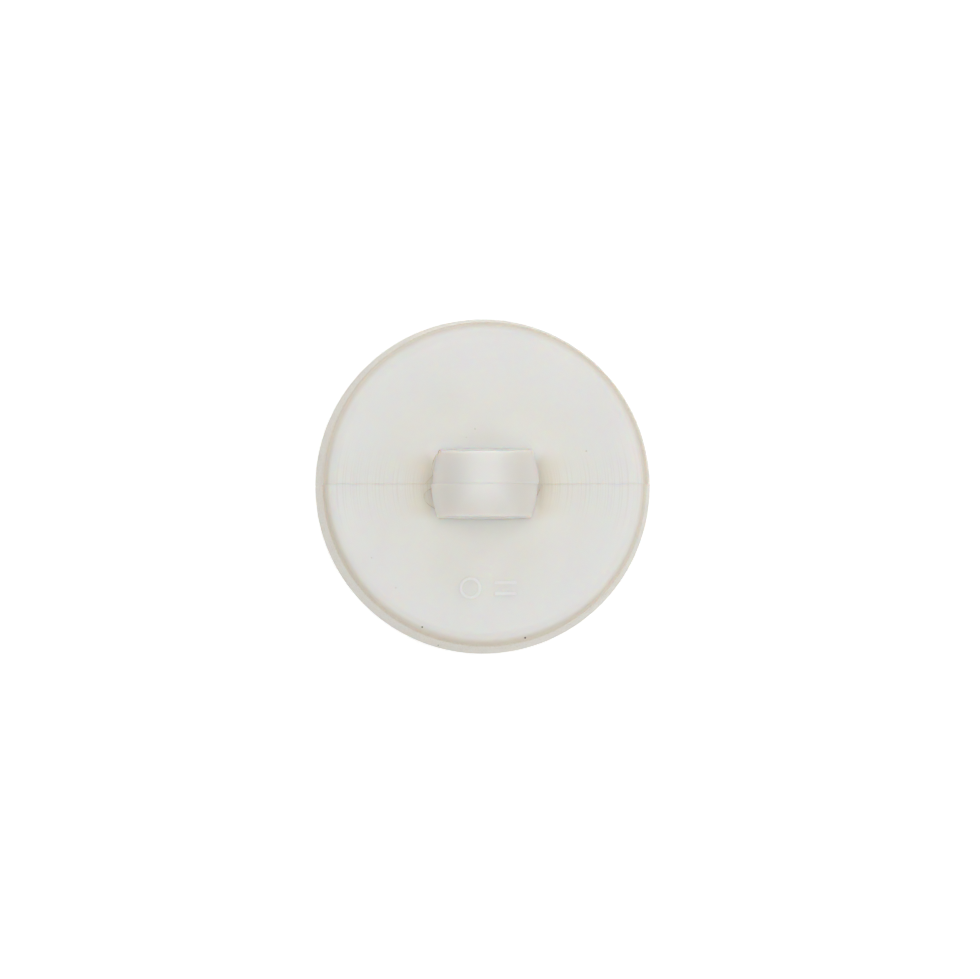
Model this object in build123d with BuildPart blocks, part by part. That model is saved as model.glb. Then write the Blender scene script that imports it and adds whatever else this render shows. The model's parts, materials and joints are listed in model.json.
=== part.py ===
"""Sew-on shank button, 24 ligne: a moulded back with a thread shank, and a snap-on front cap.

The button lies on its face. The origin is the centre of the flat of the front, +Z points out of
the back along the shank, and the thread eye runs along Y. The mould of the back splits at Y = 0
and its halves part along Y, so the plate only falls away from its flat face to its edge.
"""

import os
from math import atan, cos, degrees, radians, sin

from build123d import *

# ---------------------------------------------------------------- driving dimensions, mm
LIGNE = 0.635                       # the button trade's unit: 40 lignes to the inch
SIZE_IN_LIGNES = 24
OUTER_R = SIZE_IN_LIGNES * LIGNE / 2

SEAM_Z = 1.6                        # plane where the cap meets the back
FACE_Z = 3.2                        # flat face of the back
CROWN_Z = 6.7                       # top of the shank
SEAM_ROUND = 0.06                   # rounding of both edges at the seam

# front cap
CAP_LAND_R = 4.6                    # flat of the front, which the button rests on
CAP_EDGE_R = 1.0                    # rounding of the cap's edge
CAP_WALL = 0.1                      # straight wall between the edge rounding and the seam
CAP_INSET = 0.02                    # the cap is this much smaller in radius than the back
RECESS_R = 6.55                     # recess that takes the spigot
RECESS_Z = 0.95                     # floor of the recess

# snap joint between the two
SPIGOT_R = 6.5
SPIGOT_WALL = 1.1
SPIGOT_GAP = 0.05                   # clearance under the spigot
SPIGOT_CHAMFER = 0.12
SNAP_Z = 1.27
SNAP_REACH = 0.08                   # how far the bead stands out of the spigot
SNAP_HALF_HEIGHT = 0.12

# plate of the back: a flat face, a rounded shoulder, a narrow ledge and a drafted wall
HOLLOW_Z = 1.9                      # underside of the plate, inside the spigot
BAND_HEIGHT = 0.2                   # upright band at the seam, below the drafted wall
BAND_ROUND = 0.1                    # where the band turns into the wall
FACE_R = 6.64                       # where the flat face ends
SHOULDER_R = 7.21                   # where the shoulder meets the ledge
SHOULDER_TURN = 55                  # how far the shoulder turns down, degrees
LEDGE_R = 7.36
LEDGE_FALL = 0.05                   # the ledge drops this much from the shoulder to its edge
LEDGE_ROUND = 0.03

# shank, barrel-shaped from end to end
SHANK_HALF_X = 2.38                 # at the mould split
SHANK_END_HALF_X = 2.09             # at the two ends
SHANK_HALF_Y = 1.46
SHANK_END_DROP = 0.12               # the crown is this much lower at the ends
SHOULDER_RISE = 1.55                # height of the elliptic crown above the straight sides
END_ROUND = 0.05
SHANK_ROOT = 0.3                    # how far the shank's body reaches down into the plate
EYE_R = 1.0
EYE_Z = 4.62
EYE_MOUTH_ROUND = 0.14

# moulder's cavity mark in low relief: a ring, and two short bars
MARK_Y = -4.6
MARK_HEIGHT = 0.08
RING_X = -0.55
RING_R = 0.5
RING_WIDTH = 0.14
BAR_X = 1.05
BAR_LENGTH = 1.0
BAR_WIDTH = 0.16
BAR_SPACING = 0.5

os.makedirs("parts", exist_ok=True)


# ---------------------------------------------------------------- front cap
# The pillow face is two tangent arcs: a wide one from the flat, then the edge rounding, which
# ends upright. Their shared tangent angle follows from the rise and run that they have to cover.
cap_r = OUTER_R - CAP_INSET
edge_z = SEAM_Z - CAP_WALL
pillow_run = cap_r - CAP_LAND_R - CAP_EDGE_R
pillow_rise = edge_z - CAP_EDGE_R
pillow_turn = degrees(2 * atan(pillow_rise / pillow_run))
pillow_r = CAP_EDGE_R + pillow_run / sin(radians(pillow_turn))

with BuildPart() as front_cap:
    with BuildSketch(Plane.XZ):
        with BuildLine():
            flat = Line((0, 0), (CAP_LAND_R, 0))
            pillow = JernArc(flat @ 1, (1, 0), pillow_r, pillow_turn)
            edge = JernArc(pillow @ 1, pillow % 1, CAP_EDGE_R, 90 - pillow_turn)
            brow = FilletPolyline(
                edge @ 1,
                (cap_r, SEAM_Z),
                (RECESS_R, SEAM_Z),
                radius=SEAM_ROUND,
            )
            Polyline(
                brow @ 1,
                (RECESS_R, SNAP_Z + SNAP_HALF_HEIGHT),
                (RECESS_R + SNAP_REACH, SNAP_Z),
                (RECESS_R, SNAP_Z - SNAP_HALF_HEIGHT),
                (RECESS_R, RECESS_Z),
                (0, RECESS_Z),
                (0, 0),
            )
        make_face()
    revolve(axis=Axis.Z)
front_cap.part.label = "front_cap"
export_step(front_cap.part, "parts/front_cap.step")


# ---------------------------------------------------------------- back: plate, spigot and shank
# The shoulder is one arc, tangent to the face. Its radius and drop follow from its run and turn.
shoulder_turn = radians(SHOULDER_TURN)
shoulder_round = (SHOULDER_R - FACE_R) / sin(shoulder_turn)
shoulder_foot_z = FACE_Z - shoulder_round * (1 - cos(shoulder_turn))

spigot_z = RECESS_Z + SPIGOT_GAP
eye_mouth_r = EYE_R + EYE_MOUTH_ROUND
eye_wall_y = SHANK_HALF_Y - EYE_MOUTH_ROUND


def shank_section(y, half_x, crown_z):
    """Upright section of the shank at y: straight sides under a half-elliptic crown."""
    with BuildSketch(Plane.XZ.offset(-y)) as section:
        with BuildLine():
            crown = EllipticalCenterArc(
                (0, crown_z - SHOULDER_RISE), half_x, SHOULDER_RISE, arc_size=180
            )
            Polyline(
                crown @ 1,
                (-half_x, FACE_Z - SHANK_ROOT),
                (half_x, FACE_Z - SHANK_ROOT),
                crown @ 0,
            )
        make_face()
    return section.sketch


end_crown_z = CROWN_Z - SHANK_END_DROP
shank_sections = [
    shank_section(-SHANK_HALF_Y, SHANK_END_HALF_X, end_crown_z),
    shank_section(0, SHANK_HALF_X, CROWN_Z),
    shank_section(SHANK_HALF_Y, SHANK_END_HALF_X, end_crown_z),
]

with BuildPart() as shank_back:
    loft(sections=shank_sections)
    shank_ends = shank_back.faces().filter_by(Axis.Y)
    fillet(shank_ends.edges().filter_by(GeomType.LINE, reverse=True), END_ROUND)

    # plate and snap spigot
    with BuildSketch(Plane.XZ):
        with BuildLine():
            face = Line((0, FACE_Z), (FACE_R, FACE_Z))
            shoulder = JernArc(face @ 1, (1, 0), shoulder_round, -SHOULDER_TURN)
            outside = FilletPolyline(
                shoulder @ 1,
                (LEDGE_R, shoulder_foot_z - LEDGE_FALL),
                (OUTER_R, SEAM_Z + BAND_HEIGHT),
                (OUTER_R, SEAM_Z),
                (SPIGOT_R, SEAM_Z),
                radius=[LEDGE_ROUND, BAND_ROUND, SEAM_ROUND],
            )
            Polyline(
                outside @ 1,
                (SPIGOT_R, SNAP_Z + SNAP_HALF_HEIGHT),
                (SPIGOT_R + SNAP_REACH, SNAP_Z),
                (SPIGOT_R, SNAP_Z - SNAP_HALF_HEIGHT),
                (SPIGOT_R, spigot_z + SPIGOT_CHAMFER),
                (SPIGOT_R - SPIGOT_CHAMFER, spigot_z),
                (SPIGOT_R - SPIGOT_WALL, spigot_z),
                (SPIGOT_R - SPIGOT_WALL, HOLLOW_Z),
                (0, HOLLOW_Z),
                (0, FACE_Z),
            )
        make_face()
    revolve(axis=Axis.Z)

    # cavity mark
    with BuildSketch(Plane.XY.offset(FACE_Z)):
        with Locations((RING_X, MARK_Y)):
            Circle(RING_R)
            Circle(RING_R - RING_WIDTH, mode=Mode.SUBTRACT)
        with Locations((BAR_X, MARK_Y)):
            with GridLocations(0, BAR_SPACING, 1, 2):
                Rectangle(BAR_LENGTH, BAR_WIDTH)
    extrude(amount=MARK_HEIGHT)

    # thread eye: a round bore along Y with rounded mouths
    with BuildSketch(Plane.XY.offset(EYE_Z)):
        with BuildLine():
            Line((0, SHANK_HALF_Y), (0, -SHANK_HALF_Y))
            Line((0, -SHANK_HALF_Y), (eye_mouth_r, -SHANK_HALF_Y))
            RadiusArc((eye_mouth_r, -SHANK_HALF_Y), (EYE_R, -eye_wall_y), EYE_MOUTH_ROUND)
            Line((EYE_R, -eye_wall_y), (EYE_R, eye_wall_y))
            RadiusArc((EYE_R, eye_wall_y), (eye_mouth_r, SHANK_HALF_Y), EYE_MOUTH_ROUND)
            Line((eye_mouth_r, SHANK_HALF_Y), (0, SHANK_HALF_Y))
        make_face()
    revolve(axis=Axis((0, 0, EYE_Z), (0, 1, 0)), mode=Mode.SUBTRACT)
shank_back.part.label = "shank_back"
export_step(shank_back.part, "parts/shank_back.step")
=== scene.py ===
"""Looks of the sew-on shank button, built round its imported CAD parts.

Both mouldings are rebuilt as fine meshes on the CAD's own dimensions, which are in millimetres
here and become metres when a mesh is made. The button lies on its front: +Z is out of its back.
"""

import json
import math

import bmesh
import bpy
import numpy as np
from mathutils import Matrix, Vector, noise


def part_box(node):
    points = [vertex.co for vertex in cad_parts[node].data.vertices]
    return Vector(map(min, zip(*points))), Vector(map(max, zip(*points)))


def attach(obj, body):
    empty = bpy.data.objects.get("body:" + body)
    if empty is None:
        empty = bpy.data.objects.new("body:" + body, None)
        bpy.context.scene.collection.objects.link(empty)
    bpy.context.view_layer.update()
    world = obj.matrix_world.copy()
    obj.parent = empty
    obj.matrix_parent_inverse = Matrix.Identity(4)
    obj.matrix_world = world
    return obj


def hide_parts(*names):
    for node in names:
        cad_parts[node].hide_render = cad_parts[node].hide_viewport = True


MM = 0.001

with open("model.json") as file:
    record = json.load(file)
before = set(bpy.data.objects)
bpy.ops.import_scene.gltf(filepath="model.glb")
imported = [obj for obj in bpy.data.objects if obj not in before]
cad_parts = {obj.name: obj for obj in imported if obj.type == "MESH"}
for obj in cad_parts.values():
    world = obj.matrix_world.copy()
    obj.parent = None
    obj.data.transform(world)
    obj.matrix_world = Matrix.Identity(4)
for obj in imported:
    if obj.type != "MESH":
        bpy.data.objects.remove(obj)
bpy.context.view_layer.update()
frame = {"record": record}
mounts = {m["name"]: m for m in frame["record"]["mounts"]}
back_low, back_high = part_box("shank_back")
cap_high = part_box("front_cap")[1]

# ---------------------------------------------------------------- dimensions from the frame
OUTER_R = back_high.x / MM
CROWN_Z = back_high.z / MM
SPIGOT_Z = back_low.z / MM
CAP_R = cap_high.x / MM
SEAM_Z = cap_high.z / MM
EYE_R = mounts["thread_eye"]["dims"]["r_mm"]
EYE_Z = mounts["thread_eye"]["pos_m"][2] / MM

# ---------------------------------------------------------------- dimensions as in the CAD, mm
SEAM_ROUND = 0.06
CAP_LAND_R = 4.6
CAP_EDGE_R = 1.0
CAP_WALL = 0.1
RECESS_R = 6.55
RECESS_Z = 0.95
SPIGOT_R = 6.5
SPIGOT_WALL = 1.1
SPIGOT_CHAMFER = 0.12
SNAP_Z = 1.27
SNAP_REACH = 0.08
SNAP_HALF_HEIGHT = 0.12
HOLLOW_Z = 1.9
FACE_Z = 3.2
BAND_HEIGHT = 0.2
BAND_ROUND = 0.1
FACE_R = 6.64
SHOULDER_R = 7.21
SHOULDER_TURN = 55
LEDGE_R = 7.36
LEDGE_FALL = 0.05
LEDGE_ROUND = 0.03
SHANK_HALF_X = 2.38
SHANK_END_HALF_X = 2.09
SHANK_HALF_Y = 1.46
SHANK_END_DROP = 0.12
SHOULDER_RISE = 1.55
END_ROUND = 0.05
EYE_MOUTH_ROUND = 0.14
MARK_Y = -4.6
MARK_HEIGHT = 0.08
RING_X = -0.55
RING_R = 0.5
RING_WIDTH = 0.14
BAR_X = 1.05
BAR_LENGTH = 1.0
BAR_WIDTH = 0.16
BAR_SPACING = 0.5

# ---------------------------------------------------------------- looks only, mm
ROOT_ROUND = 0.04                   # fillet where the shank grows out of the face
END_BOW = 0.05                      # the shank's ends bulge this much in the middle
END_DRAFT = 0.045                   # and lean in this much for each millimetre of height
DRAFT_Z = 4.9                       # height where the draft takes nothing off
MOULD_SHIFT = (0.115, 0.1)          # the side-moulded top sits this far off the seam's centre
SPLIT_HALF = 0.035                  # half width of the witness line at the mould split
SPLIT_DEPTH = 0.022
SPLIT_SHIFT = 0.03                  # the two mould halves miss each other by twice this, along X
MARK_SINK = 0.02                    # the mark's solids start this far under the face
MARK_SOFTEN = 0.012

# Flash that the mould left: each is a thread of points (x, y, z), with its thickness.
FLASH = {
    "curl": (0.032, [
        (-2.24, -0.08, 3.3), (-2.58, -0.2, 3.3), (-2.68, -0.55, 3.33), (-2.4, -0.9, 3.3),
        (-2.04, -1.06, 3.28),
    ]),
    "left_web": (0.03, [(-2.25, 0.5, 3.3), (-2.42, 0.3, 3.25), (-2.6, 0.12, 3.2)]),
    "right_web": (0.035, [(2.46, -0.42, 3.4), (2.56, -0.2, 3.3), (2.72, 0.12, 3.2)]),
    "corner_burr": (0.05, [
        (-2.0, 1.4, 5.1), (-1.98, 1.54, 5.3), (-1.9, 1.62, 5.4), (-1.86, 1.52, 5.45),
    ]),
    "left_burr": (0.035, [
        (-2.05, 1.44, 5.0), (-2.17, 1.2, 5.06), (-2.25, 0.94, 5.1), (-2.32, 0.6, 5.1),
    ]),
}

CENTRE_HOLE = 0.4                   # grids stop this far from the axis, and a fan closes them
CAP_CENTRE_HOLE = 0.5
SHARP_ANGLE = 38                    # degrees; sharper edges than this are not smoothed over
WELD = 0.0005
FINE_WELD = 0.0001

# grid of the back, in columns round a quarter turn
SPLIT_COLUMNS = 5
SIDE_COLUMNS = 34
CORNER_COLUMNS = 7
END_COLUMNS = 46
QUARTER = SPLIT_COLUMNS + SIDE_COLUMNS + CORNER_COLUMNS + END_COLUMNS

SHOULDER_ROUND = (SHOULDER_R - FACE_R) / math.sin(math.radians(SHOULDER_TURN))
LEDGE_Z = FACE_Z - SHOULDER_ROUND * (1 - math.cos(math.radians(SHOULDER_TURN))) - LEDGE_FALL


# ---------------------------------------------------------------- outlines, as rows of (r, z)
def straight(start, end, steps):
    """Points from start to end, without start itself."""
    return [
        (start[0] + (end[0] - start[0]) * i / steps, start[1] + (end[1] - start[1]) * i / steps)
        for i in range(1, steps + 1)
    ]


def arc(centre, radius, start_deg, end_deg, steps):
    """Points on a circular arc, both ends included."""
    angles = [math.radians(start_deg + (end_deg - start_deg) * i / steps) for i in range(steps + 1)]
    return [(centre[0] + radius * math.cos(a), centre[1] + radius * math.sin(a)) for a in angles]


def rounded(before, corner, after, radius, steps):
    """Points of the fillet of this radius that cuts a corner between two straight runs."""
    turn_point = Vector(corner)
    back, ahead = (Vector(before) - turn_point).normalized(), (Vector(after) - turn_point).normalized()
    half = back.angle(ahead) / 2
    centre = turn_point + (back + ahead).normalized() * radius / math.sin(half)
    start = turn_point + back * radius / math.tan(half) - centre
    end = turn_point + ahead * radius / math.tan(half) - centre
    start_deg = math.degrees(math.atan2(start.y, start.x))
    turn = math.degrees(start.angle_signed(end))
    return arc(centre, radius, start_deg, start_deg - turn, steps)


def plate_rows():
    """The back from the edge of its flat face, over the shoulder, the ledge, the wall and the band,
    and under the plate to near the axis."""
    band_top = (OUTER_R, SEAM_Z + BAND_HEIGHT)
    seam_corner = (OUTER_R, SEAM_Z)
    rows = arc((FACE_R, FACE_Z - SHOULDER_ROUND), SHOULDER_ROUND, 90, 90 - SHOULDER_TURN, 14)
    foot = rows[-1]
    ledge_bend = rounded(foot, (LEDGE_R, LEDGE_Z), band_top, LEDGE_ROUND, 5)
    rows += straight(foot, ledge_bend[0], 3)[:-1]
    rows += ledge_bend
    band_bend = rounded((LEDGE_R, LEDGE_Z), band_top, seam_corner, BAND_ROUND, 4)
    rows += straight(rows[-1], band_bend[0], 14)[:-1]
    rows += band_bend
    rows += straight(rows[-1], (OUTER_R, SEAM_Z + SEAM_ROUND), 2)[:-1]
    rows += arc((OUTER_R - SEAM_ROUND, SEAM_Z + SEAM_ROUND), SEAM_ROUND, 0, -90, 5)
    corners = [
        (SPIGOT_R, SEAM_Z),
        (SPIGOT_R, SNAP_Z + SNAP_HALF_HEIGHT),
        (SPIGOT_R + SNAP_REACH, SNAP_Z),
        (SPIGOT_R, SNAP_Z - SNAP_HALF_HEIGHT),
        (SPIGOT_R, SPIGOT_Z + SPIGOT_CHAMFER),
        (SPIGOT_R - SPIGOT_CHAMFER, SPIGOT_Z),
        (SPIGOT_R - SPIGOT_WALL, SPIGOT_Z),
        (SPIGOT_R - SPIGOT_WALL, HOLLOW_Z),
    ]
    for corner in corners:
        rows += straight(rows[-1], corner, 2)
    rows += straight(rows[-1], (CENTRE_HOLE, HOLLOW_Z), 8)
    return rows


def cap_rows():
    """The cap from near the middle of its front, round its edge, to near the middle of its recess."""
    edge_z = SEAM_Z - CAP_WALL
    run = CAP_R - CAP_LAND_R - CAP_EDGE_R
    rise = edge_z - CAP_EDGE_R
    turn = 2 * math.atan(rise / run)
    pillow_r = CAP_EDGE_R + run / math.sin(turn)

    rows = [(CAP_CENTRE_HOLE, 0.0)]
    rows += straight(rows[-1], (CAP_LAND_R, 0.0), 14)[:-1]
    rows += arc((CAP_LAND_R, pillow_r), pillow_r, -90, -90 + math.degrees(turn), 20)
    rows += arc((CAP_R - CAP_EDGE_R, edge_z), CAP_EDGE_R, -90 + math.degrees(turn), 0, 18)[1:]
    rows += arc((CAP_R - SEAM_ROUND, SEAM_Z - SEAM_ROUND), SEAM_ROUND, 0, 90, 5)
    corners = [
        (RECESS_R, SEAM_Z),
        (RECESS_R, SNAP_Z + SNAP_HALF_HEIGHT),
        (RECESS_R + SNAP_REACH, SNAP_Z),
        (RECESS_R, SNAP_Z - SNAP_HALF_HEIGHT),
        (RECESS_R, RECESS_Z),
    ]
    for corner in corners:
        rows += straight(rows[-1], corner, 2)
    rows += straight(rows[-1], (CAP_CENTRE_HOLE, RECESS_Z), 6)
    return rows


# ---------------------------------------------------------------- grids
def quarter_columns():
    """What a column of the first quarter is on the shank: (zone, place in the zone from 0 to 1)."""
    split = [("side", SPLIT_HALF * k / SPLIT_COLUMNS) for k in range(SPLIT_COLUMNS)]
    side_end = SHANK_HALF_Y - END_ROUND
    side = [
        ("side", SPLIT_HALF + (side_end - SPLIT_HALF) * k / SIDE_COLUMNS) for k in range(SIDE_COLUMNS)
    ]
    corner = [("corner", k / CORNER_COLUMNS) for k in range(CORNER_COLUMNS)]
    end = [("end", k / END_COLUMNS) for k in range(END_COLUMNS + 1)]
    return split + side + corner + end


def shank_point(column, profile):
    """A point of the shank's first quarter. profile is (part, place): part "crown" has the angle
    up the elliptic crown, and part "wall" the height of the straight side."""
    zone, place = column
    part, at = profile
    if zone == "side":
        y, inset, turn = place, 0.0, 0.0
    elif zone == "corner":
        turn = place * math.pi / 2
        y = SHANK_HALF_Y - END_ROUND * (1 - math.sin(turn))
        inset = END_ROUND * (1 - math.cos(turn))
    else:
        y, inset, turn = SHANK_HALF_Y, END_ROUND, math.pi / 2
    barrel = (y / SHANK_HALF_Y) ** 2
    half_x = SHANK_HALF_X + (SHANK_END_HALF_X - SHANK_HALF_X) * barrel
    side_z = CROWN_Z - SHOULDER_RISE - SHANK_END_DROP * barrel
    if part == "crown":
        normal = Vector((math.cos(at) / half_x, math.sin(at) / SHOULDER_RISE)).normalized()
        x = half_x * math.cos(at) - inset * normal.x
        z = side_z + SHOULDER_RISE * math.sin(at) - inset * normal.y
    else:
        x = half_x - inset
        z = side_z + (ROOT_ROUND + FACE_Z - side_z) * at
    if zone == "end":
        x *= 1 - place
    plan_normal = Vector((math.cos(turn), math.sin(turn)))
    bow = END_BOW * (1 - (x / SHANK_HALF_X) ** 2)
    y *= 1 + (bow + END_DRAFT * (DRAFT_Z - z)) / SHANK_HALF_Y
    return Vector((x, y, z)), plan_normal


def circle_points(radius, z, columns):
    """The same columns on a circle: the split line keeps its width, and the rest share the angle."""
    points = []
    first = math.asin(SPLIT_HALF / radius)
    rest = QUARTER - SPLIT_COLUMNS
    for k in range(len(columns)):
        if k < SPLIT_COLUMNS:
            y = SPLIT_HALF * k / SPLIT_COLUMNS
            points.append((math.sqrt(radius ** 2 - y ** 2), y, z))
        else:
            a = first + (math.pi / 2 - first) * (k - SPLIT_COLUMNS) / rest
            points.append((radius * math.cos(a), radius * math.sin(a), z))
    return points


def back_quarter():
    """Grid of the back's first quarter as an array (rows, columns, 3), from the crown's ridge to
    the middle of the underside, and the number of rows that the two mould halves formed."""
    columns = quarter_columns()
    crown_steps, wall_steps, root_steps, face_steps = 36, 10, 7, 34
    rows = []
    for i in range(crown_steps + 1):
        angle = math.pi / 2 * (1 - i / crown_steps)
        rows.append([shank_point(c, ("crown", angle))[0] for c in columns])
    for i in range(1, wall_steps + 1):
        rows.append([shank_point(c, ("wall", i / wall_steps))[0] for c in columns])
    for i in range(1, root_steps + 1):
        turn = math.pi / 2 * i / root_steps
        row = []
        for c in columns:
            foot, outward = shank_point(c, ("wall", 1.0))
            reach = ROOT_ROUND * (1 - math.cos(turn))
            z = FACE_Z + ROOT_ROUND * (1 - math.sin(turn))
            row.append((foot.x + outward.x * reach, foot.y + outward.y * reach, z))
        rows.append(row)
    root = np.array(rows[-1], dtype=float)
    plate = plate_rows()
    face_edge = np.array(circle_points(FACE_R, FACE_Z, columns))
    for i in range(1, face_steps):
        share = i / face_steps
        rows.append(root * (1 - share) + face_edge * share)
    split_rows = 0
    for r, z in plate:
        rows.append(circle_points(r, z, columns))
        if z >= SEAM_Z + SEAM_ROUND and r > SPIGOT_R:
            split_rows = len(rows)
    return np.array([[tuple(p) for p in row] for row in rows], dtype=float), split_rows


def full_turn(quarter):
    """Mirrors a quarter's grid to the whole turn, without repeating the shared columns."""
    flip_x, flip_y = np.array((-1, 1, 1)), np.array((1, -1, 1))
    half = np.concatenate([quarter, (quarter * flip_x)[:, -2::-1]], axis=1)
    return np.concatenate([half, (half * flip_y)[:, -2:0:-1]], axis=1)


def grid_normals(grid):
    """Unit normals of a grid that is closed round its columns."""
    down = np.gradient(grid, axis=0)
    wrapped = np.concatenate([grid[:, -1:], grid, grid[:, :1]], axis=1)
    around = (wrapped[:, 2:] - wrapped[:, :-2]) / 2
    normal = np.cross(around, down) * -1
    length = np.linalg.norm(normal, axis=2, keepdims=True)
    return normal / np.maximum(length, 1e-12)


def grid_faces(rows, columns):
    """Quads of a grid closed round its columns, facing outwards."""
    faces = []
    for i in range(rows - 1):
        for j in range(columns):
            k = (j + 1) % columns
            faces.append((i * columns + j, (i + 1) * columns + j, (i + 1) * columns + k, i * columns + k))
    return faces


def mesh_object(name, points, faces):
    """A smooth-shaded mesh object from points in millimetres."""
    mesh = bpy.data.meshes.new(name)
    mesh.from_pydata([tuple(p) for p in np.asarray(points, dtype=float) * MM], [], faces)
    mesh.validate()
    mesh.shade_smooth()
    mesh.set_sharp_from_angle(angle=math.radians(SHARP_ANGLE))
    made = bpy.data.objects.new(name, mesh)
    bpy.context.collection.objects.link(made)
    return made


def weld(target, distance):
    """Joins points closer than distance, in millimetres, and drops the faces that collapse."""
    work = bmesh.new()
    work.from_mesh(target.data)
    bmesh.ops.remove_doubles(work, verts=work.verts, dist=distance * MM)
    bmesh.ops.recalc_face_normals(work, faces=work.faces)
    work.to_mesh(target.data)
    work.free()


def boolean(target, tool, operation):
    """Applies an exact boolean to target and removes the tool."""
    step = target.modifiers.new(operation.lower(), "BOOLEAN")
    step.operation = operation
    step.solver = "EXACT"
    step.object = tool
    bpy.context.view_layer.update()
    evaluated = target.evaluated_get(bpy.context.evaluated_depsgraph_get())
    result = bpy.data.meshes.new_from_object(evaluated)
    target.modifiers.clear()
    target.data = result
    bpy.data.objects.remove(tool)


# ---------------------------------------------------------------- the back moulding
def split_line(grid, moulded_rows):
    """Cuts the witness line of the mould split into the grid and moves the two halves apart in X."""
    normals = grid_normals(grid)
    normals[0] = (0, 0, 1)
    x, y = grid[:, :, 0], grid[:, :, 1]
    across = np.minimum(np.abs(y) / SPLIT_HALF, 1.0)
    wander = np.array([[noise.noise(Vector((place * 1.7, 0.5, 0.0))) for place in row] for row in x])
    depth = SPLIT_DEPTH * (1 - across ** 2) ** 2 * (1 + 0.8 * wander)
    depth[moulded_rows:] = 0
    depth[np.abs(x) < 1e-6] = 0
    depth[0] = SPLIT_DEPTH * (1 - across[0] ** 2) ** 2
    moved = grid - normals * depth[:, :, None]
    band_top = SEAM_Z + BAND_HEIGHT
    share = np.clip((grid[:, :1, 2] - band_top) / (LEDGE_Z - band_top), 0, 1)
    share[moulded_rows:] = 0
    moved[:, :, 0] += share * (MOULD_SHIFT[0] + SPLIT_SHIFT * np.sign(y) * across)
    moved[:, :, 1] += share * MOULD_SHIFT[1]
    return moved


def relief(outline, hole=None):
    """Points and faces of a low closed relief on the face, with an optional hole of as many points."""
    low, edge, top = FACE_Z - MARK_SINK, FACE_Z + MARK_HEIGHT - MARK_SOFTEN, FACE_Z + MARK_HEIGHT
    middle = sum((Vector(p) for p in outline), Vector((0, 0))) / len(outline)

    def inward(point, sign):
        toward = (middle - Vector(point)).normalized() * MARK_SOFTEN * sign
        return point[0] + toward.x, point[1] + toward.y

    loops = [[(x, y, low) for x, y in outline], [(x, y, edge) for x, y in outline]]
    loops.append([(*inward(p, 1), top) for p in outline])
    if hole:
        loops.append([(*inward(p, -1), top) for p in hole])
        loops += [[(x, y, edge) for x, y in hole], [(x, y, low) for x, y in hole]]
    count = len(outline)
    faces = []
    for i in range(len(loops) if hole else len(loops) - 1):
        a, b = i * count, (i + 1) % len(loops) * count
        faces += [(a + j, a + (j + 1) % count, b + (j + 1) % count, b + j) for j in range(count)]
    if not hole:
        faces.append(tuple(reversed(range(count))))
        faces.append(tuple(range((len(loops) - 1) * count, len(loops) * count)))
    return [p for loop in loops for p in loop], faces


def make_mark():
    """The cavity mark, a ring and two short bars, as one mesh."""
    steps = 64
    turns = [2 * math.pi * i / steps for i in range(steps)]
    outer, inner = (
        [(RING_X + r * math.cos(a), MARK_Y + r * math.sin(a)) for a in turns]
        for r in (RING_R, RING_R - RING_WIDTH)
    )
    reliefs = [relief(outer, inner)]
    for side in (-1, 1):
        y = MARK_Y + side * BAR_SPACING / 2
        half_x, half_y = BAR_LENGTH / 2, BAR_WIDTH / 2
        corners = [(-half_x, -half_y), (half_x, -half_y), (half_x, half_y), (-half_x, half_y)]
        reliefs.append(relief([(BAR_X + cx, y + cy) for cx, cy in corners]))
    points, faces = [], []
    for more_points, more_faces in reliefs:
        first = len(points)
        points += more_points
        faces += [tuple(first + i for i in face) for face in more_faces]
    return mesh_object("mark", points, faces)


def make_back():
    """The whole back moulding, bored and marked."""
    quarter, moulded_rows = back_quarter()
    grid = full_turn(quarter)
    rows, columns = grid.shape[:2]
    points = split_line(grid, moulded_rows).reshape(-1, 3)
    faces = grid_faces(rows, columns)
    centre = len(points)
    points = np.concatenate([points, [(0, 0, HOLLOW_Z)]])
    last = (rows - 1) * columns
    faces += [(last + j, centre, last + (j + 1) % columns) for j in range(columns)]
    back = mesh_object("back_moulding", points, faces)
    weld(back, WELD)
    boolean(back, eye_cutter(), "DIFFERENCE")
    boolean(back, make_mark(), "UNION")
    back.data.shade_smooth()
    back.data.set_sharp_from_angle(angle=math.radians(SHARP_ANGLE))
    return back


def eye_cutter():
    """The thread eye's bore along Y, flared by its rounded mouths and running past both ends."""
    mouth_y = SHANK_HALF_Y + END_BOW - EYE_MOUTH_ROUND
    flare = arc((mouth_y, EYE_R + EYE_MOUTH_ROUND), EYE_MOUTH_ROUND, -90, -2, 8)
    half = [(y, r) for y, r in flare] + [(mouth_y + EYE_MOUTH_ROUND + 0.3, EYE_R + EYE_MOUTH_ROUND)]
    rows = [(-y, r) for y, r in reversed(half)] + half
    steps = 96
    points = []
    for y, r in rows:
        for j in range(steps):
            a = 2 * math.pi * j / steps
            points.append((MOULD_SHIFT[0] + r * math.cos(a), MOULD_SHIFT[1] + y, EYE_Z + r * math.sin(a)))
    faces = grid_faces(len(rows), steps)
    faces.append(tuple(range(steps)))
    faces.append(tuple(reversed(range((len(rows) - 1) * steps, len(rows) * steps))))
    cutter = mesh_object("eye_cutter", points, faces)
    weld(cutter, FINE_WELD)
    return cutter


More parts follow.
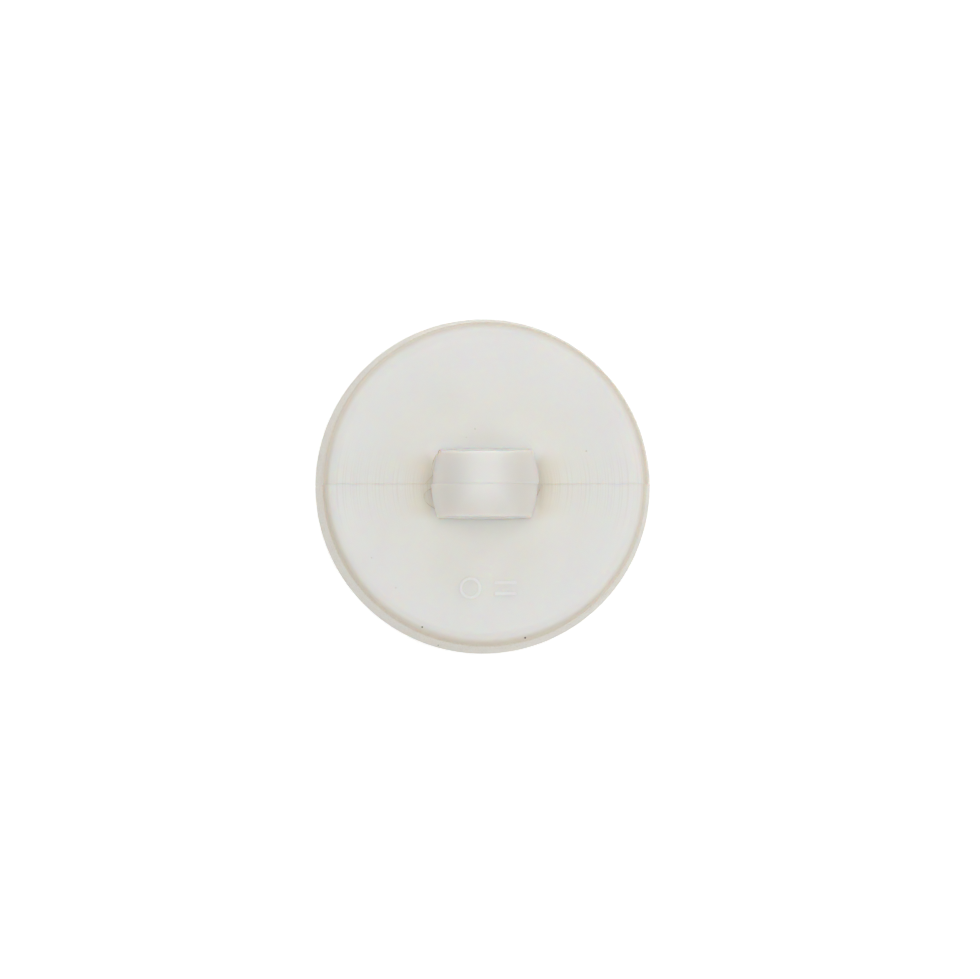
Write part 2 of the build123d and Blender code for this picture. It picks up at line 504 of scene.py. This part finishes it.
def make_flash(name):
    """One thread of flash, thinning towards its free end, as a mesh."""
    thickness, route = FLASH[name]
    curve = bpy.data.curves.new(name, "CURVE")
    curve.dimensions = "3D"
    curve.bevel_depth = thickness / 2 * MM
    curve.bevel_resolution = 2
    curve.use_fill_caps = True
    spline = curve.splines.new("NURBS")
    spline.points.add(len(route) - 1)
    for i, (point, place) in enumerate(zip(spline.points, route)):
        point.co = (*(Vector(place) * MM), 1)
        point.radius = 1 - 0.5 * i / len(route)
    spline.order_u = 3
    spline.use_endpoint_u = True
    spline.resolution_u = 8
    drawn = bpy.data.objects.new(name, curve)
    bpy.context.collection.objects.link(drawn)
    bpy.context.view_layer.update()
    mesh = bpy.data.meshes.new_from_object(drawn.evaluated_get(bpy.context.evaluated_depsgraph_get()))
    bpy.data.objects.remove(drawn)
    mesh.shade_smooth()
    made = bpy.data.objects.new("flash_" + name, mesh)
    bpy.context.collection.objects.link(made)
    return made


# ---------------------------------------------------------------- the front cap
def make_cap():
    """The front cap, turned from its outline."""
    steps = 360
    rows = cap_rows()
    points = [
        (r * math.cos(2 * math.pi * j / steps), r * math.sin(2 * math.pi * j / steps), z)
        for r, z in rows
        for j in range(steps)
    ]
    faces = grid_faces(len(rows), steps)
    front, recess = len(points), len(points) + 1
    points += [(0, 0, 0), (0, 0, RECESS_Z)]
    last = (len(rows) - 1) * steps
    faces += [((j + 1) % steps, front, j) for j in range(steps)]
    faces += [(last + j, recess, last + (j + 1) % steps) for j in range(steps)]
    cap = mesh_object("front_moulding", points, faces)
    weld(cap, FINE_WELD)
    return cap


# ---------------------------------------------------------------- materials
PLASTIC = (0.84, 0.84, 0.815)
PLASTIC_LIGHT = (0.855, 0.855, 0.835)

# Tints multiply the plastic's colour, and stand for shade that the lights alone don't give.
MIDDLE_TINT = (1.0, 0.99, 0.96)      # the middle of the face is a little warmer than its edge
MIDDLE_FADES = (3.8, 6.2)            # from the first radius to the second
FOOT_SHADE_TINT = (0.94, 0.885, 0.8)       # painted shade: the face is browner round the foot of the shank, where the shank shades it
FOOT_REACH = 2.0
FOOT_HALF_Y = 1.2
ENDS_SPARED = (0.9, 1.7)             # but not past the shank's two ends
SHOULDER_SHADE_TINT = (0.85, 0.79, 0.69)   # painted shade along the foot of the shoulder
SHOULDER_HALF = 0.26
SHADE_SIDE = (-0.42, -0.91, 0.0)     # most of all towards this side
SHADE_SHARES = (0.5, 0.8)
# painted shade on the ledge and the wall
WALL_SHADE_TINT = (0.86, 0.83, 0.78)
CROWN_SHADE_TINT = (0.88, 0.86, 0.83)        # painted shade: the crown is darker towards its sides and its lower end
SIDE_FADES = (0.3, 1.9)
LOW_END_FADES = (0.1, -1.3)
LOW_END_SHARE = 0.6
SCUFF_TINT = (0.88, 0.85, 0.8)       # fine turning marks and scuffs
TURNED_SHARE = 0.3
TURNED_FOCUS = 30.0                  # the higher, the closer the coloured turning marks keep to the split: painted light, where the lamps glint on them
SCUFF_SHARE = 0.6
STREAKS = (0.5, 0.62)                # part of a noise that becomes a streak

# These replace the plastic's colour.
LOW_WALL = (0.86, 0.85, 0.825)       # the shank's low walls
LOW_WALL_FADES = (4.2, 5.2)
FOOT_PALE = (0.95, 0.94, 0.92)       # painted light: paler close to the foot of the shank; also paler on top of the mark
GLOW_REACH = (0.45, 1.0)             # below the shank and above it
GLOW_RISES = (1.0, 2.0)
GLOW_SHARE = 0.9
MARK_SHARE = 0.4
SPECK = (0.05, 0.03, 0.02)

FACE_FADES = (FACE_Z + 0.1, FACE_Z + 0.8)
ABOVE_MARK = (FACE_Z + 0.1, FACE_Z + 0.2)
MARK_TOP = (FACE_Z + 0.03, FACE_Z + 0.07)
CROWN_FADES = (4.4, 4.9)
BUMP_DEPTH = 0.004
PIT_DEPTH = 4.0
TOOL_LINES = 1.2

# Dirt specks and pits in the back, as (x, y, radius) in millimetres.
SPECKS = [(-2.73, -6.37, 0.045), (1.93, -6.86, 0.05), (-2.02, -7.22, 0.03)]
PITS = [
    (4.69, 1.59, 0.05), (-0.34, 2.6, 0.04), (-0.73, 2.21, 0.03), (-3.93, -4.59, 0.04),
    (-5.02, -3.23, 0.04),
]


class Nodes:
    """Small helper that adds and links shader nodes of one material."""

    def __init__(self, name):
        self.material = bpy.data.materials.new(name)
        self.material.use_nodes = True
        self.tree = self.material.node_tree
        self.tree.nodes.clear()
        self.output = self.tree.nodes.new("ShaderNodeOutputMaterial")
        self.shader = self.add("ShaderNodeBsdfPrincipled")
        self.tree.links.new(self.shader.outputs["BSDF"], self.output.inputs["Surface"])

    def add(self, kind, inputs=None, **settings):
        node = self.tree.nodes.new(kind)
        for key, value in settings.items():
            setattr(node, key, value)
        for key, value in (inputs or {}).items():
            if hasattr(value, "is_output"):
                self.tree.links.new(value, node.inputs[key])
            else:
                node.inputs[key].default_value = value
        return node

    def link(self, source, socket):
        self.tree.links.new(source, self.shader.inputs[socket])

    def math(self, operation, *values):
        return self.add("ShaderNodeMath", dict(enumerate(values)), operation=operation).outputs["Value"]

    def vector(self, operation, *values):
        return self.add("ShaderNodeVectorMath", dict(enumerate(values)), operation=operation)

    def ease(self, value, start, end, at_start=0.0, at_end=1.0):
        """Goes smoothly from at_start to at_end while value goes from start to end."""
        inputs = {"Value": value, "From Min": start, "From Max": end, "To Min": at_start, "To Max": at_end}
        return self.add("ShaderNodeMapRange", inputs, interpolation_type="SMOOTHSTEP").outputs["Result"]

    def noise(self, scale, detail, **inputs):
        dimensions = "1D" if "W" in inputs else "3D"
        sockets = {**inputs, "Scale": scale, "Detail": detail}
        return self.add("ShaderNodeTexNoise", sockets, noise_dimensions=dimensions).outputs["Fac"]

    def ramp(self, value, dark, light):
        node = self.add("ShaderNodeValToRGB", {"Fac": value})
        node.color_ramp.elements[0].position = 0.35
        node.color_ramp.elements[0].color = (*dark, 1)
        node.color_ramp.elements[1].position = 0.65
        node.color_ramp.elements[1].color = (*light, 1)
        return node.outputs["Color"]

    def tint(self, share, base, colour, blend="MULTIPLY"):
        node = self.add("ShaderNodeMix", data_type="RGBA", blend_type=blend)
        sockets = {s.identifier: s for s in node.inputs}
        self.tree.links.new(share, sockets["Factor_Float"])
        self.tree.links.new(base, sockets["A_Color"])
        sockets["B_Color"].default_value = (*colour, 1)
        return [s for s in node.outputs if s.identifier == "Result_Color"][0]

    def product(self, first, *others):
        for other in others:
            first = self.math("MULTIPLY", first, other)
        return first

    def bump(self, height):
        node = self.add("ShaderNodeBump", {"Height": height, "Strength": 1.0, "Distance": BUMP_DEPTH * MM})
        self.link(node.outputs["Normal"], "Normal")

    def translucent_plastic(self, roughness):
        s = self.shader.inputs
        s["Roughness"].default_value = roughness
        s["IOR"].default_value = 1.5
        s["Subsurface Weight"].default_value = 1.0
        s["Subsurface Radius"].default_value = (1.0, 0.65, 0.4)
        s["Subsurface Scale"].default_value = 0.6 * MM


class BackPlace:
    """Sockets that say where on the back a point is, in millimetres."""

    def __init__(self, n):
        scaled = n.vector("SCALE", n.add("ShaderNodeTexCoord").outputs["Object"])
        scaled.inputs["Scale"].default_value = 1 / MM
        self.place = scaled.outputs["Vector"]
        axes = n.add("ShaderNodeSeparateXYZ", {"Vector": self.place}).outputs
        self.x, self.y, self.z = axes["X"], axes["Y"], axes["Z"]
        self.plan = n.add("ShaderNodeCombineXYZ", {"X": self.x, "Y": self.y}).outputs["Vector"]
        self.radius = n.vector("LENGTH", self.plan).outputs["Value"]
        self.outward = n.vector("NORMALIZE", self.plan).outputs["Vector"]
        from_top_centre = n.vector("SUBTRACT", self.plan, (*MOULD_SHIFT, 0.0)).outputs["Vector"]
        self.top_radius = n.vector("LENGTH", from_top_centre).outputs["Value"]
        self.on_face = n.ease(self.z, *FACE_FADES, 1.0, 0.0)
        self.on_wall = n.ease(self.top_radius, SHOULDER_R, LEDGE_R)
        toward_split = n.add("ShaderNodeSeparateXYZ", {"Vector": self.outward}).outputs["X"]
        self.near_split = n.math("POWER", n.math("ABSOLUTE", toward_split), TURNED_FOCUS)


def shank_colour_and_shade(n, at, colour):
    """The shank's crown and walls, and the top of the mark; painted shade on the crown's sides and lower
    end.
    """
    above_walls = n.ease(at.z, *LOW_WALL_FADES)
    # Painted shade on the crown, towards its sides and its lower end.
    from_ridge = n.math("ABSOLUTE", n.math("SUBTRACT", at.x, MOULD_SHIFT[0]))
    low_end_shade = n.ease(at.y, *LOW_END_FADES, 0.0, LOW_END_SHARE)
    side = n.product(n.math("MAXIMUM", n.ease(from_ridge, *SIDE_FADES), low_end_shade), above_walls)
    colour = n.tint(side, colour, CROWN_SHADE_TINT)

    above_mark = n.ease(at.z, *ABOVE_MARK)
    low_wall = n.product(n.math("SUBTRACT", 1.0, above_walls), above_mark)
    colour = n.tint(low_wall, colour, LOW_WALL, "MIX")
    on_mark = n.math("MAXIMUM", n.math("SUBTRACT", n.ease(at.z, *MARK_TOP), above_mark), 0.0)
    return n.tint(n.product(on_mark, MARK_SHARE), colour, FOOT_PALE, "MIX")


def foot_shade_and_glow(n, at, colour):
    """The face round the foot of the shank: painted shade beside it, and painted light close to it."""
    gaps = []
    for place, shift, half in (
        (at.x, MOULD_SHIFT[0], SHANK_END_HALF_X),
        (at.y, MOULD_SHIFT[1], FOOT_HALF_Y),
    ):
        from_middle = n.math("ABSOLUTE", n.math("SUBTRACT", place, shift))
        gap = n.math("MAXIMUM", n.math("SUBTRACT", from_middle, half), 0.0)
        gaps.append(n.math("POWER", gap, 2.0))
    from_shank = n.math("SQRT", n.math("ADD", *gaps))

    ends_spared = n.ease(n.math("ABSOLUTE", at.y), *ENDS_SPARED, 1.0, 0.0)
    # Painted shade round the foot of the shank, fading away from it.
    foot = n.product(n.ease(from_shank, 0.0, FOOT_REACH, 1.0, 0.0), at.on_face, ends_spared)
    colour = n.tint(foot, colour, FOOT_SHADE_TINT)
    # Painted light: the face close to the shank is made paler, further out above the shank than below it.
    glow_reach = n.ease(at.y, *GLOW_RISES, *GLOW_REACH)
    glow = n.product(at.on_face, n.ease(from_shank, 0.0, glow_reach, GLOW_SHARE, 0.0))
    return n.tint(glow, colour, FOOT_PALE, "MIX")


def edge_shade(n, at, colour):
    """The shoulder, the ledge and the wall: painted shade along the foot of the shoulder, and on the ledge
    and the wall.
    """
    # Painted shade along the foot of the shoulder, darkest towards SHADE_SIDE.
    from_corner = n.math("ABSOLUTE", n.math("SUBTRACT", at.top_radius, SHOULDER_R))
    shade_side = n.vector("DOT_PRODUCT", at.outward, SHADE_SIDE).outputs["Value"]
    corner = n.ease(from_corner, 0.0, SHOULDER_HALF, 1.0, 0.0)
    shaded = n.product(corner, n.ease(shade_side, -1.0, 0.9, *SHADE_SHARES))
    colour = n.tint(shaded, colour, SHOULDER_SHADE_TINT)
    # Painted shade on the ledge and the wall.
    return n.tint(at.on_wall, colour, WALL_SHADE_TINT)


def back_plastic():
    """Off-white nylon: satin, slightly translucent, with turning marks on the face, tool lines
    along the crown, a scuffed wall, and a few specks and pits. It carries painted shade round the
    shank's foot, on the crown's sides, along the shoulder and on the wall, and painted light close
    to the shank's foot."""
    n = Nodes("back_plastic")
    at = BackPlace(n)
    colour = n.ramp(n.noise(0.26, 2.0, Vector=at.place), PLASTIC, PLASTIC_LIGHT)
    middle = n.product(at.on_face, n.ease(at.radius, *MIDDLE_FADES, 1.0, 0.0))
    colour = n.tint(middle, colour, MIDDLE_TINT)
    colour = shank_colour_and_shade(n, at, colour)
    colour = foot_shade_and_glow(n, at, colour)
    colour = edge_shade(n, at, colour)

    # The turning marks are the plastic's own; colouring them only in the sector along the split, where the
    # lamps glint on them, is painted light.
    turned = n.ease(n.noise(11.0, 2.0, W=at.radius), *STREAKS)
    turned = n.product(turned, at.on_face, at.near_split, TURNED_SHARE)
    scuffed = n.ease(n.noise(13.0, 2.0, Vector=at.place), *STREAKS)
    scuffed = n.product(scuffed, at.on_wall, SCUFF_SHARE)
    colour = n.tint(n.math("MAXIMUM", turned, scuffed), colour, SCUFF_TINT)

    def spot(x, y, size):
        away = n.vector("DISTANCE", at.plan, (x, y, 0)).outputs["Value"]
        return n.ease(away, 0.6 * size, size, 1.0, 0.0)

    for speck in SPECKS:
        colour = n.tint(spot(*speck), colour, SPECK, "MIX")
    pitted = spot(*PITS[0])
    for pit in PITS[1:]:
        pitted = n.math("MAXIMUM", pitted, spot(*pit))
    colour = n.tint(pitted, colour, SCUFF_TINT)
    n.link(colour, "Base Color")

    on_crown = n.ease(at.z, *CROWN_FADES)
    rings = n.product(n.noise(9.0, 2.0, W=at.radius), n.ease(at.near_split, 0.0, 1.0, 1.0, 4.0))
    tool_lines = n.product(n.noise(3.0, 1.0, W=at.y), TOOL_LINES)
    stretched = n.vector("MULTIPLY", at.place, (1.0, 1.0, 0.2)).outputs["Vector"]
    grain = n.noise(9.0, 3.0, Vector=stretched)
    lines = n.add("ShaderNodeMix", {0: on_crown, 2: rings, 3: tool_lines}, data_type="FLOAT").outputs[0]
    height = n.math("SUBTRACT", n.math("ADD", lines, grain), n.product(pitted, PIT_DEPTH))
    n.bump(height)
    n.translucent_plastic(0.42)
    return n.material


def flash_plastic_painted_shade():
    """The same nylon where it is a hair-thin flash, and glossier; its brown colour, darker in patches, is
    painted shade for the dark line that the flash makes.
    """
    n = Nodes("flash_plastic_painted_shade")
    place = n.add("ShaderNodeTexCoord").outputs["Object"]
    # Painted shade: brown in place of the nylon's own colour.
    colour = n.ramp(n.noise(4000.0, 2.0, Vector=place), (0.58, 0.49, 0.38), (0.78, 0.73, 0.64))
    n.link(colour, "Base Color")
    n.bump(n.noise(20000.0, 2.0, Vector=place))
    n.translucent_plastic(0.3)
    n.shader.inputs["Subsurface Scale"].default_value = 0.05 * MM
    return n.material


def cap_plastic():
    """Off-white glossy plastic of the front, with a very slight waviness."""
    n = Nodes("cap_plastic")
    place = n.add("ShaderNodeTexCoord").outputs["Object"]
    colour = n.ramp(n.noise(200.0, 2.0, Vector=place), (0.81, 0.80, 0.765), (0.83, 0.82, 0.79))
    n.link(colour, "Base Color")
    n.bump(n.noise(900.0, 1.0, Vector=place))
    n.translucent_plastic(0.2)
    return n.material


def floor_paper():
    """Plain white paper for the floor, lit through from below."""
    n = Nodes("floor_paper")
    s = n.shader.inputs
    s["Base Color"].default_value = (0.92, 0.92, 0.92, 1)
    s["Roughness"].default_value = 0.9
    s["Specular IOR Level"].default_value = 0.1
    s["Emission Color"].default_value = (1.0, 1.0, 1.0, 1)
    s["Emission Strength"].default_value = 0.32
    return n.material


# ---------------------------------------------------------------- scene
# A light tent: one large softbox overhead and two rings of small ones round the button. The low
# ring is stronger on one side, as where a window stands behind the tent.
SOFTBOX_DISTANCE = 300
OVERHEAD_SIZE = 240
OVERHEAD_POWER = 0.33
SOFTBOX_SIZE = 120
RING_BOXES = 8
MIDDLE_TILT = 45                    # degrees from straight up
MIDDLE_POWER = 0.015
LOW_TILT = 72
LOW_POWER = 0.045
LOW_LEAN = 0.5                      # the strong side has 1 + this of the power, the weak side 1 - this
LOW_STRONG_SIDE = 45                # degrees round from +X
TENT_GLOW = 0.3                     # the tent's cloth glows evenly all round

CAMERA_DISTANCE = 180
CAMERA_BELOW = 0.4                  # degrees off the button's axis, towards -Y
WIDTH_SEEN = 44.72                  # the picture's width in the plane of the seam
AIM = (0.34, -0.135, 0)             # point of that plane in the middle of the picture, from its centre
SENSOR_WIDTH = 36
CLIP_START = 0.01
FLOOR_HALF = 2.0                    # metres
FLOOR_DROP = 0.00001


def make_floor():
    corners = [(-FLOOR_HALF, -FLOOR_HALF), (FLOOR_HALF, -FLOOR_HALF)]
    corners += [(FLOOR_HALF, FLOOR_HALF), (-FLOOR_HALF, FLOOR_HALF)]
    mesh = bpy.data.meshes.new("floor")
    mesh.from_pydata([(x, y, -FLOOR_DROP) for x, y in corners], [], [(0, 1, 2, 3)])
    floor = bpy.data.objects.new("floor", mesh)
    floor.data.materials.append(floor_paper())
    bpy.context.collection.objects.link(floor)


def make_light(name, direction, power, size=SOFTBOX_SIZE):
    """A round softbox that looks at the button from a direction: (tilt, turn) in degrees."""
    data = bpy.data.lights.new(name, "AREA")
    data.shape = "DISK"
    data.size = size * MM
    data.energy = power
    light = bpy.data.objects.new(name, data)
    tilt, turn = (math.radians(a) for a in direction)
    toward = Vector((math.sin(tilt) * math.cos(turn), math.sin(tilt) * math.sin(turn), math.cos(tilt)))
    light.location = toward * SOFTBOX_DISTANCE * MM
    light.rotation_mode = "QUATERNION"
    light.rotation_quaternion = toward.to_track_quat("Z", "Y")
    bpy.context.collection.objects.link(light)


def make_lights():
    make_light("overhead", (0, 0), OVERHEAD_POWER, OVERHEAD_SIZE)
    for k in range(RING_BOXES):
        turn = 360 * k / RING_BOXES
        lean = LOW_LEAN * math.cos(math.radians(turn - LOW_STRONG_SIDE))
        make_light(f"middle_{k}", (MIDDLE_TILT, turn), MIDDLE_POWER)
        make_light(f"low_{k}", (LOW_TILT, turn), LOW_POWER * (1 + lean))


def make_world():
    world = bpy.data.worlds.new("tent")
    world.use_nodes = True
    background = world.node_tree.nodes["Background"]
    background.inputs["Color"].default_value = (1.0, 1.0, 1.0, 1)
    background.inputs["Strength"].default_value = TENT_GLOW
    bpy.context.scene.world = world


def make_camera():
    """Looks down on the back, almost straight along its axis."""
    focus = Vector((0, 0, SEAM_Z))
    toward = Vector((0, -math.tan(math.radians(CAMERA_BELOW)), 1)).normalized()
    data = bpy.data.cameras.new("camera")
    data.sensor_width = SENSOR_WIDTH
    data.lens = SENSOR_WIDTH * CAMERA_DISTANCE / WIDTH_SEEN
    data.clip_start = CLIP_START
    camera = bpy.data.objects.new("camera", data)
    camera.location = (focus + toward * CAMERA_DISTANCE) * MM
    aim = (focus + Vector(AIM)) * MM
    back_axis = (camera.location - aim).normalized()
    right_axis = Vector((0, 1, 0)).cross(back_axis).normalized()
    up_axis = back_axis.cross(right_axis)
    camera.rotation_mode = "QUATERNION"
    camera.rotation_quaternion = Matrix((right_axis, up_axis, back_axis)).transposed().to_quaternion()
    bpy.context.collection.objects.link(camera)
    bpy.context.scene.camera = camera


back = make_back()
back.data.materials.clear()
back.data.materials.append(back_plastic())
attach(back, "root")
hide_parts("shank_back")

cap = make_cap()
cap.data.materials.append(cap_plastic())
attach(cap, "root")
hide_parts("front_cap")

for name in FLASH:
    flash = make_flash(name)
    flash.data.materials.clear()
    flash.data.materials.append(flash_plastic_painted_shade())
    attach(flash, "root")

make_floor()
make_world()
make_lights()
make_camera()
bpy.context.scene.view_settings.view_transform = "Standard"
